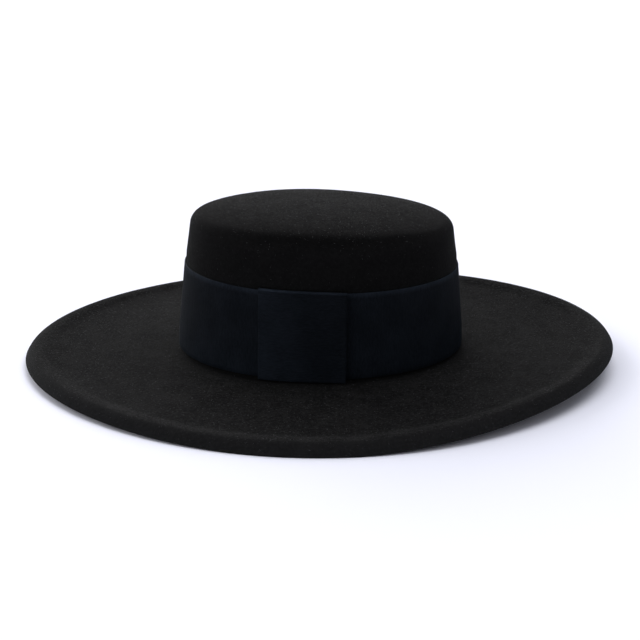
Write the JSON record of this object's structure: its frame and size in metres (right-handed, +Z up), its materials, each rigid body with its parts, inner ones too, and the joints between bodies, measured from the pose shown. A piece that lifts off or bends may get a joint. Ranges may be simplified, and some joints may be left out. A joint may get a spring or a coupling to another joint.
{
  "type": "wide-brim felt hat",
  "caption": "Felt hat with an oval, nearly flat-topped crown, a wide ribbed ribbon with a flat keeper on its left side, and a wide brim with a rolled-down edge.",
  "frame": {"origin": "on the surface the hat stands on, under the middle of the brim's outline", "axes": "+Z up through the crown; the wearer faces -X; the wearer's left side, with the keeper, is -Y"},
  "size_m": [0.4244, 0.3922, 0.1124],
  "materials": {
    "felt": "black wool felt, short fuzzy nap",
    "ribbon": "black grosgrain ribbon, upright ribs",
    "keeper_ribbon": "the same ribbon laid upright, its ribs level"
  },
  "bodies": {
    "root": {"felt_body": "felt", "hat_band": "ribbon", "band_keeper": "keeper_ribbon"}
  },
  "joints": []
}
